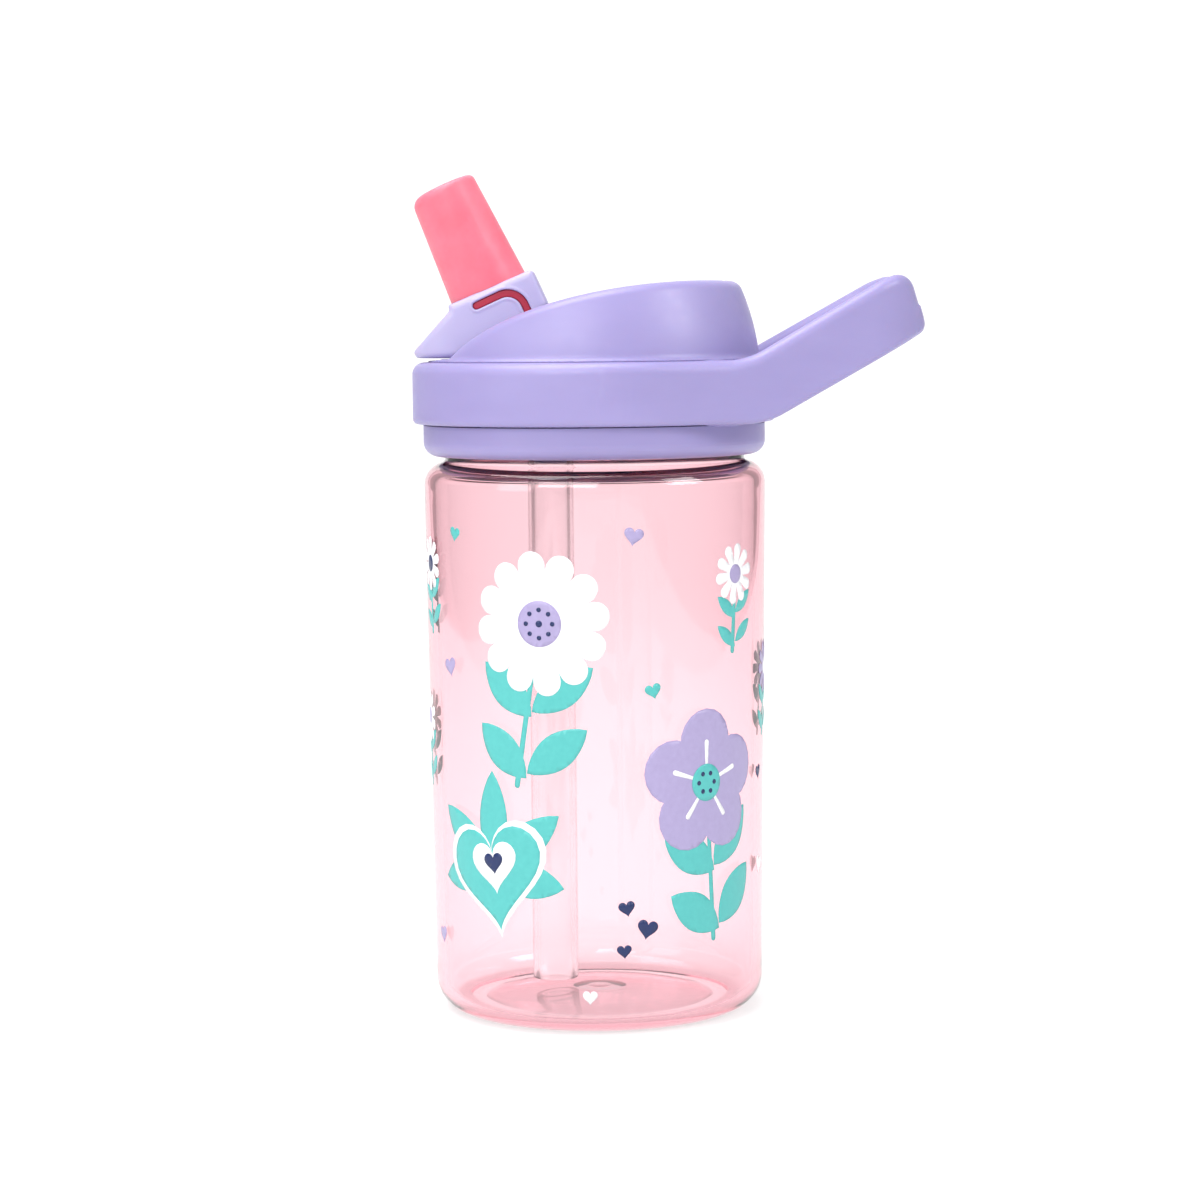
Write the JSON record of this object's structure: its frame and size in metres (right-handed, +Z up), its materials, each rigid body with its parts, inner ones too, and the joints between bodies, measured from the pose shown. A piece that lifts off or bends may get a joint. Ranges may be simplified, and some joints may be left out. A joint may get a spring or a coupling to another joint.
{
  "type": "kids water bottle",
  "caption": "Small clear bottle with a screw cap, a fixed carry loop, a domed lid with a channel, and a flip-up spout with a soft bite valve on a straw.",
  "frame": {"origin": "centre of the foot ring's flat face, where the bottle stands", "axes": "+Z up along the bottle's axis; +X towards the carry loop, -X towards the drinker; +Y to the side"},
  "size_m": [0.1097, 0.0778, 0.1791],
  "materials": {
    "clear_bottle": "clear, glossy, tinted pink",
    "cap_plastic": "satin moulded lavender",
    "valve_silicone": "soft translucent coral silicone",
    "clear_straw": "clear, glossy",
    "seal_silicone": "milky translucent silicone",
    "print_white": "printed ink",
    "print_teal": "printed ink",
    "print_lavender": "printed ink",
    "print_navy": "printed ink"
  },
  "bodies": {
    "bottle": {"bottle_body": "clear_bottle"},
    "seal_ring": {"cap_gasket": "seal_silicone"},
    "cap": {"cap_base": "cap_plastic", "dome_cover": "cap_plastic", "carry_handle": "cap_plastic", "straw": "clear_straw", "port_seal": "seal_silicone", "vent_valve": "seal_silicone"},
    "flip_spout": {"spout": "cap_plastic", "bite_valve": "valve_silicone"}
  },
  "joints": [
    {"name": "cap_lift", "type": "slide", "parent": "bottle", "child": "seal_ring", "axis": [0, 0, 1], "range_m": [0, 0.00501]},
    {"name": "cap_turn", "type": "hinge", "parent": "seal_ring", "child": "cap", "pos_m": [0, 0, 0.1312], "axis": [0, 0, 1], "range_deg": [0, 450]},
    {"name": "spout_flip", "type": "hinge", "parent": "cap", "child": "flip_spout", "pos_m": [-0.0132, 0, 0.1414], "axis": [0, 1, 0], "range_deg": [0, 108]}
  ],
  "couplings": [
    {"joint": "cap_lift", "follows": "cap_turn", "m_per_rad": 0.00063662}
  ]
}
